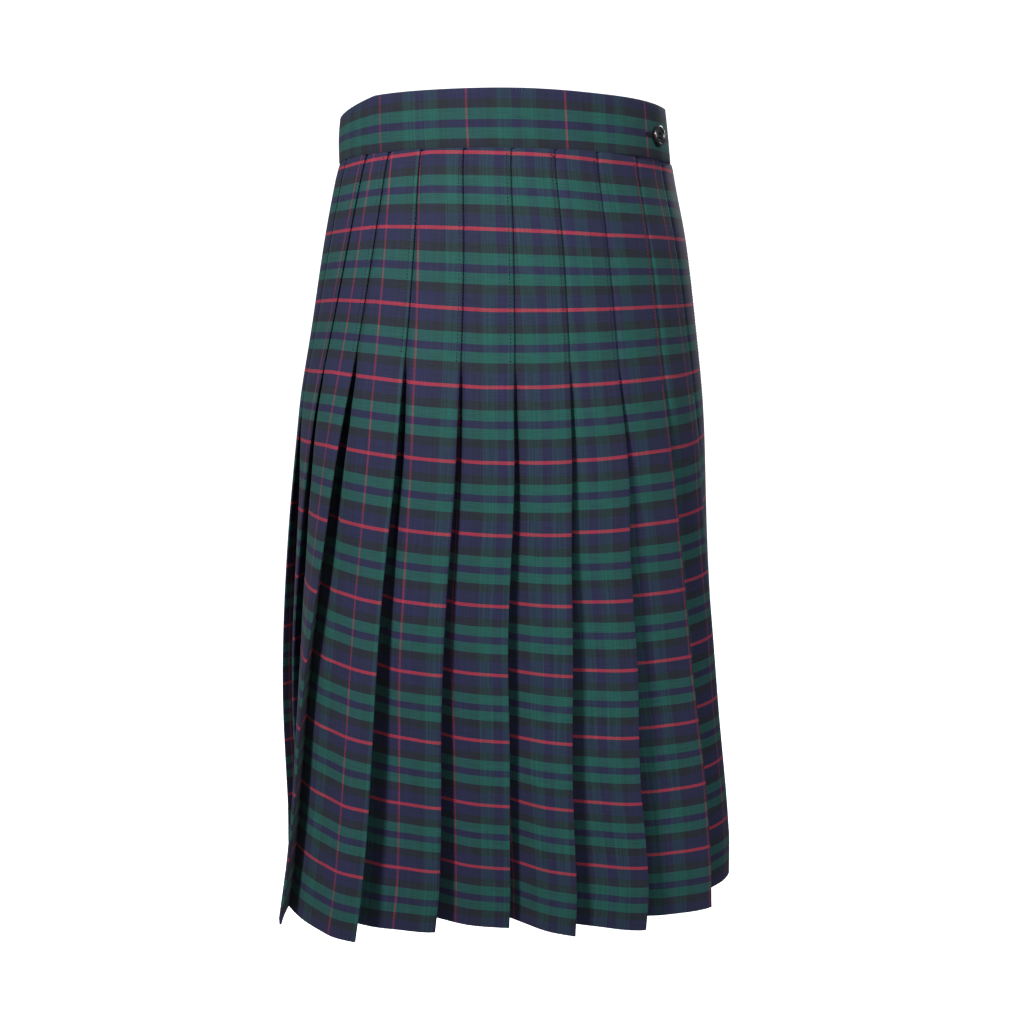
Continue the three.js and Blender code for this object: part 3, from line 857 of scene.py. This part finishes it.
# %% A tree that lays stitches along a line
def stitch_tree():
    tree = bpy.data.node_groups.new("stitches_along_a_line", "GeometryNodeTree")
    sockets = [
        ("Line", "Geometry", None),
        ("Pitch", "Float", 2.4),
        ("Length", "Float", 1.7),
        ("Thickness", "Float", 0.4),
        ("Upright", "Bool", False),
        ("Seed", "Int", 5),
        ("Thread", "Material", None),
    ]
    for name, kind, value in sockets:
        socket = tree.interface.new_socket(name, in_out="INPUT", socket_type="NodeSocket" + kind)
        if value is not None:
            socket.default_value = value
    tree.interface.new_socket("Stitches", in_out="OUTPUT", socket_type="NodeSocketGeometry")
    given = add_node(tree, "NodeGroupInput").outputs
    curve = add_node(tree, "GeometryNodeMeshToCurve", inputs={0: given["Line"]})
    spaced = add_node(
        tree,
        "GeometryNodeResampleCurve",
        {"mode": "LENGTH"},
        {"Curve": curve.outputs[0], "Length": given["Pitch"]},
    )
    grain = add_node(tree, "GeometryNodeMeshUVSphere", inputs={"Segments": 6, "Rings": 5, "Radius": 0.5})
    size = add_node(
        tree,
        "ShaderNodeCombineXYZ",
        inputs={0: given["Thickness"], 1: given["Thickness"], 2: given["Length"]},
    )
    stitch = add_node(
        tree, "GeometryNodeTransform", inputs={"Geometry": grain.outputs[0], "Scale": size.outputs[0]}
    )
    round_grain = add_node(tree, "GeometryNodeSetShadeSmooth", inputs={"Geometry": stitch.outputs[0]})
    along = add_node(tree, "GeometryNodeInputTangent")
    way = add_node(
        tree,
        "GeometryNodeSwitch",
        {"input_type": "VECTOR"},
        {"Switch": given["Upright"], "False": along.outputs[0], "True": (0.0, 0.0, 1.0)},
    )
    turned = add_node(tree, "FunctionNodeAlignRotationToVector", {"axis": "Z"}, {"Vector": way.outputs[0]})
    uneven = add_node(
        tree,
        "FunctionNodeRandomValue",
        {"data_type": "FLOAT_VECTOR"},
        {0: (0.85, 0.85, 0.85), 1: (1.1, 1.1, 1.1), "Seed": given["Seed"]},
    )
    placed = add_node(
        tree,
        "GeometryNodeInstanceOnPoints",
        inputs={
            "Points": spaced.outputs[0],
            "Instance": round_grain.outputs[0],
            "Rotation": turned.outputs[0],
            "Scale": uneven.outputs[0],
        },
    )
    real = add_node(tree, "GeometryNodeRealizeInstances", inputs={0: placed.outputs[0]})
    finished = add_node(
        tree, "GeometryNodeSetMaterial", inputs={"Geometry": real.outputs[0], "Material": given["Thread"]}
    )
    add_node(tree, "NodeGroupOutput", inputs={0: finished.outputs[0]})
    return tree


# %% Running the tree on a set of lines
def stitched(name, lines, tree, **values):
    """One plain mesh of stitches along lines of points in metres; sizes are in millimetres."""
    points = [point for line in lines for point in line]
    edges, at = [], 0
    for line in lines:
        edges += [(at + n, at + n + 1) for n in range(len(line) - 1)]
        at += len(line)
    guide_mesh = bpy.data.meshes.new(name + "_guide")
    guide_mesh.from_pydata(points, edges, [])
    guide = new_object(name + "_guide", guide_mesh)
    modifier = guide.modifiers.new("stitches", "NODES")
    modifier.node_group = tree
    identifiers = {item.name: item.identifier for item in tree.interface.items_tree}
    for socket, value in values.items():
        modifier[identifiers[socket]] = value * MM if isinstance(value, float) else value
    modifier[identifiers["Thread"]] = thread
    evaluated = guide.evaluated_get(bpy.context.evaluated_depsgraph_get())
    made = new_object(name, bpy.data.meshes.new_from_object(evaluated))
    bpy.data.objects.remove(guide)
    if not made.data.materials:
        made.data.materials.append(thread)
    return made


# %% [markdown]
# ### Edge stitching and bar tacks
# The lines were noted on the panels' outer skin. Each ends in a tack that runs across to the pressed
# edge. The pleat over the middle of the waist was caught twice where it enters the seam, which left a
# small dark knot.

# %% The lines of thread on the skirt
KNOTTED_PLEAT = 6
KNOT_WIDTH = 2.0
STITCH_FACES = 30  # faces of one stitch

machine_stitches = stitch_tree()
edge_lines, tack_lines = [], []
for pleat, noted in stitch_lines.items():
    inset_points = [np.array(point) * MM for point, _ in noted]
    edge_lines.append([tuple(point) for point in inset_points])
    foot_inset, foot_tip = inset_points[-1], np.array(noted[-1][1]) * MM
    tack_lines.append([tuple(mix(foot_inset, foot_tip, share)) for share in (-0.1, 0.9)])
(top_inset, top_tip), (next_inset, _) = stitch_lines[KNOTTED_PLEAT][:2]
knot_foot = mix(np.array(next_inset), np.array(top_inset), 0.4) + np.array([KNOT_WIDTH, 0, 0])
for share in (0.15, 0.55):
    knot_head = mix(np.array(top_inset), np.array(top_tip), share)
    tack_lines.append([tuple(knot_head * MM), tuple(knot_foot * MM)])
edge_stitching = stitched(
    "edge_stitching", edge_lines, machine_stitches, Pitch=2.4, Length=1.6, Thickness=0.6
)
bar_tacks = stitched("bar_tacks", tack_lines, machine_stitches, Pitch=0.7, Length=1.0, Thickness=0.6)
print("stitches on the edges:", len(edge_stitching.data.polygons) // STITCH_FACES)
print("stitches in tacks and the knot:", len(bar_tacks.data.polygons) // STITCH_FACES)

# %% [markdown]
# ## The buttonhole
# The band's outer end has a buttonhole worked with close upright stitches round a slit. The button's neck
# sits at the end of the slit that the pull draws it to, so the rest of the slit shows beside the button.

# %% Places on the band's outer face
BAND_FACE = (BAND_WALL + PIECE_GAP) / 2 + BAND_WALL / 2
HOLE_BEFORE_NECK = 14.0
HOLE_PAST_NECK = 2.5


def on_band(along, above, proud):
    """A point on the outer end of the band, from the button's middle, in metres."""
    ring = Ring(BAND_BODY, -BUTTON_HEIGHT - above)
    arc = (BUTTON_ARC + along) * ring.round / waist_round
    return ring.place(np.array([arc]), np.array([-BAND_FACE - proud]))[0] * MM


def band_line(start, end, above, proud, steps=12):
    return [tuple(on_band(along, above, proud)) for along in np.linspace(start, end, steps)]


hole = [band_line(-HOLE_BEFORE_NECK, HOLE_PAST_NECK, above, BAND_CROWN) for above in (0.75, -0.75)]
slit = [band_line(-HOLE_BEFORE_NECK + 0.6, HOLE_PAST_NECK, 0.0, BAND_CROWN)]
worked = stitched("buttonhole", hole, machine_stitches, Pitch=0.42, Length=1.5, Thickness=0.4, Upright=True)
gimp = stitched("buttonhole_edge", slit, machine_stitches, Pitch=0.8, Length=1.2, Thickness=0.3)
print("buttonhole", HOLE_BEFORE_NECK + HOLE_PAST_NECK, "mm long")

# %% [markdown]
# ## The button
# A black horn button, 14 mm across, sewn through four holes. It was turned on a lathe, so its rim and
# dished middle are one profile spun round, and its holes are drilled afterwards. A Boolean modifier
# drills them here, as a boring bit would, which keeps their walls round.

# %% A turned disc with four drilled holes
BUTTON_PROFILE = [  # distance from the middle and height above the cloth
    (0.0, 0.0),
    (5.3, 0.0),
    (6.2, 0.35),
    (6.75, 1.0),
    (7.0, 1.9),
    (6.92, 2.6),
    (6.6, 3.2),
    (6.1, 3.55),
    (5.7, 3.6),
    (5.3, 3.45),
    (4.9, 3.05),
    (4.5, 2.65),
    (3.9, 2.45),
    (0.0, 2.3),
]
BUTTON_SIDES = 72
HOLE_RADIUS = 0.85
HOLE_FROM_MIDDLE = 1.45
BUTTON_LIFT = 0.3  # the thread's neck holds it off the band


def spun(mesh, profile, sides, centre=(0.0, 0.0)):
    """Adds a closed solid of revolution about +Z to a bmesh, in millimetres."""
    rings = []
    for radius, height in profile:
        count = sides if radius else 1
        turns = [2 * math.pi * n / count for n in range(count)]
        places = [(centre[0] + radius * math.cos(a), centre[1] + radius * math.sin(a), height) for a in turns]
        rings.append([mesh.verts.new(place) for place in places])
    for low, high in zip(rings, rings[1:]):
        for n in range(sides):
            lower = [low[n % len(low)], low[(n + 1) % len(low)]]
            upper = [high[(n + 1) % len(high)], high[n % len(high)]]
            mesh.faces.new(list(dict.fromkeys(lower + upper)))
    bmesh.ops.recalc_face_normals(mesh, faces=mesh.faces)


def lathe_object(name, profiles):
    mesh = bmesh.new()
    for profile, sides, centre in profiles:
        spun(mesh, profile, sides, centre)
    data = bpy.data.meshes.new(name)
    mesh.to_mesh(data)
    mesh.free()
    return new_object(name, data)


def four_hole_button():
    disc = lathe_object("button_disc", [(BUTTON_PROFILE, BUTTON_SIDES, (0, 0))])
    bit = [(0, -1), (HOLE_RADIUS, -1), (HOLE_RADIUS, 2.2), (HOLE_RADIUS + 0.35, 2.75), (0, 2.75)]
    corners = [(x * HOLE_FROM_MIDDLE, y * HOLE_FROM_MIDDLE) for x in (-1, 1) for y in (-1, 1)]
    bits = lathe_object("button_bits", [(bit, 24, corner) for corner in corners])
    drill = disc.modifiers.new("drill", "BOOLEAN")
    drill.operation = "DIFFERENCE"
    drill.solver = "EXACT"
    drill.object = bits
    evaluated = disc.evaluated_get(bpy.context.evaluated_depsgraph_get())
    mesh = bpy.data.meshes.new_from_object(evaluated)
    bpy.data.objects.remove(disc)
    bpy.data.objects.remove(bits)
    mesh.polygons.foreach_set("use_smooth", [True] * len(mesh.polygons))
    mesh.set_sharp_from_angle(angle=math.radians(40))
    return mesh


# %% Where the button sits, and its thread
def button_place():
    middle = Vector(on_band(0, 0, BUTTON_LIFT))
    across = (Vector(on_band(1, 0, 0)) - Vector(on_band(-1, 0, 0))).normalized()
    upward = (Vector(on_band(0, 1, 0)) - Vector(on_band(0, -1, 0))).normalized()
    outward = across.cross(upward).normalized()
    upward = outward.cross(across)
    turn = Matrix((across, upward, outward)).transposed().to_4x4()
    return Matrix.Translation(middle) @ turn @ Matrix.Scale(MM, 4)


seat = button_place()
button_mesh = four_hole_button()
button_mesh.transform(seat)
horn_button = new_object("horn_button", button_mesh)
sewn = []
for side in (-1, 1):
    for strand in (-0.28, 0.0, 0.28):
        height = side * HOLE_FROM_MIDDLE + strand
        rise = [(-1.25, 1.9), (-0.9, 2.55), (0.0, 2.75), (0.9, 2.55), (1.25, 1.9)]
        sewn.append([tuple(seat @ Vector((x * HOLE_FROM_MIDDLE, height, z))) for x, z in rise])
button_thread = stitched("button_thread", sewn, machine_stitches, Pitch=0.35, Length=0.7, Thickness=0.34)
print("button", len(button_mesh.polygons), "faces")

# %% [markdown]
# ### The button's finish
# Horn is polished, so it is nearly black with a clear, slightly broken gloss. Faint cloudy layers run
# through it, and fine scratches in the polish soften its highlight.

# %% The horn material
def horn_material():
    material, tree, shader = new_material("polished_black_horn", Roughness=0.3, IOR=1.54)
    place = add_node(tree, "ShaderNodeTexCoord")
    cloud = add_node(
        tree,
        "ShaderNodeTexNoise",
        inputs={"Vector": place.outputs["Object"], "Scale": 400.0, "Detail": 3.0},
    )
    layers = add_node(tree, "ShaderNodeValToRGB", inputs={0: cloud.outputs[0]})
    layers.color_ramp.elements[0].color = linear("#050506")
    layers.color_ramp.elements[1].color = linear("#15130f")
    tree.links.new(layers.outputs[0], shader.inputs["Base Color"])
    polish = add_node(tree, "ShaderNodeMapRange", inputs={0: cloud.outputs[0], 3: 0.22, 4: 0.36})
    tree.links.new(polish.outputs[0], shader.inputs["Roughness"])
    fine = add_node(tree, "ShaderNodeTexNoise", inputs={"Vector": place.outputs["Object"], "Scale": 2500.0})
    bump = add_node(tree, "ShaderNodeBump", inputs={0: 0.12, 1: 0.02 * MM, "Height": fine.outputs[0]})
    tree.links.new(bump.outputs[0], shader.inputs["Normal"])
    return material


horn_button.data.materials.append(horn_material())

# %% [markdown]
# ## The studio
# The camera stands in front of the skirt, a little above its middle, and looks slightly down. Its place
# and lens are real sizes in metres and degrees.

# %% The camera
CAMERA_X = 0.0079
CAMERA_AWAY = 0.8102
CAMERA_Z = -0.0964
PITCH_DOWN = math.radians(11.670)
ROLL = math.radians(0.578)
FOCAL_PIXELS = 1031.7
IMAGE_PIXELS = 1024
SENSOR = 36.0

camera_data = bpy.data.cameras.new("camera")
camera_data.sensor_width = SENSOR
camera_data.lens = FOCAL_PIXELS / IMAGE_PIXELS * SENSOR
camera_data.clip_start = 0.01
camera = new_object("camera", camera_data)
aim = Matrix.Rotation(math.pi / 2 - PITCH_DOWN, 4, "X") @ Matrix.Rotation(ROLL, 4, "Z")
camera.matrix_world = Matrix.Translation((CAMERA_X, -CAMERA_AWAY, CAMERA_Z)) @ aim
bpy.context.scene.camera = camera
print("lens", round(camera_data.lens, 2), "mm")

# %% [markdown]
# ### Paper and room
# The floor is a sheet of white paper that curves up into a wall all round, so no line shows where they
# meet. It shows white and casts no light of its own on the cloth: that comes from the dim room and the
# lamps.

# %% A bowl of white paper
FLOOR_Z = -1.0
PAPER_RADIUS = 5.0
COVE_RADIUS = 1.5
PAPER_TOP = 4.0
PAPER_SIDES = 96


def paper_bowl():
    turns = np.linspace(0, math.pi / 2, 13)
    cove = [(PAPER_RADIUS - COVE_RADIUS * (1 - math.sin(a)), COVE_RADIUS * (1 - math.cos(a))) for a in turns]
    profile = [(PAPER_RADIUS / 2, 0.0)] + cove + [(PAPER_RADIUS, PAPER_TOP)]
    points = [(0.0, 0.0, FLOOR_Z)]
    for radius, rise in profile:
        angles = np.linspace(0, 2 * math.pi, PAPER_SIDES, endpoint=False)
        points += [(radius * math.cos(a), radius * math.sin(a), FLOOR_Z + rise) for a in angles]
    faces = []
    for i in range(PAPER_SIDES):
        after = (i + 1) % PAPER_SIDES
        faces.append((0, 1 + i, 1 + after))
        for row in range(len(profile) - 1):
            low, high = 1 + row * PAPER_SIDES, 1 + (row + 1) * PAPER_SIDES
            faces.append((low + i, high + i, high + after, low + after))
    mesh = bpy.data.meshes.new("paper_bowl")
    mesh.from_pydata(points, [], faces)
    mesh.polygons.foreach_set("use_smooth", [True] * len(faces))
    made = new_object("paper_bowl", mesh)
    made.visible_diffuse = False
    made.visible_glossy = False
    made.visible_shadow = False
    return made


paper, _, paper_shader = new_material("matt_studio_paper", Roughness=0.9, Emission_Strength=0.95)
paper_shader.inputs["Base Color"].default_value = linear("#f4f4f4")
paper_shader.inputs["Emission Color"].default_value = (1, 1, 1, 1)
floor = paper_bowl()
floor.data.materials.append(paper)

# %% [markdown]
# ### Light
# One soft lamp stands high on the left, so each pressed edge throws a dark strip on the face beyond it. A
# broad fill on the right and the bluish room keep the pattern readable inside those strips, and a rim
# lamp behind draws the outline of the far side.

# %% The room and three lamps
ROOM_LIGHT = 0.28
LAMPS = [  # places and sizes in metres
    dict(name="key", place=(-0.86, -1.27, 0.72), aim_at=(0, 0, -0.12), size=0.32, watts=54),
    dict(name="fill", place=(1.0, -1.55, 0.4), aim_at=(0, 0, -0.15), size=1.0, watts=30),
    dict(name="rim", place=(1.0, 1.6, 0.8), aim_at=(0, 0, -0.2), size=0.9, watts=24),
]

world = bpy.data.worlds.new("studio")
world.use_nodes = True
background = world.node_tree.nodes["Background"]
background.inputs["Color"].default_value = linear("#e6edff")
background.inputs["Strength"].default_value = ROOM_LIGHT
bpy.context.scene.world = world
bpy.context.scene.view_settings.view_transform = "Standard"


def soft_light(name, place, aim_at, size, watts):
    data = bpy.data.lights.new(name, "AREA")
    data.shape = "DISK"
    data.size = size
    data.energy = watts
    light = new_object(name, data)
    light.location = place
    light.rotation_euler = (Vector(aim_at) - Vector(place)).to_track_quat("-Z", "Y").to_euler()


for lamp in LAMPS:
    soft_light(**lamp)
    print("lamp", lamp["name"], lamp["watts"], "W")

# %% [markdown]
# ## What each piece stands for
# Every piece rides on the one body, and the solids that the cloth and the button take the place of are
# hidden.

# %% Riding and replacing
for piece, node in ((front_cloth, "front_panel"), (back_cloth, "back_panel"), (band_cloth, "waistband")):
    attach(piece, "root")
    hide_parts(node)
for piece in (edge_stitching, bar_tacks, worked, gimp, button_thread):
    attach(piece, "root")
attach(horn_button, "root")
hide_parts("button")
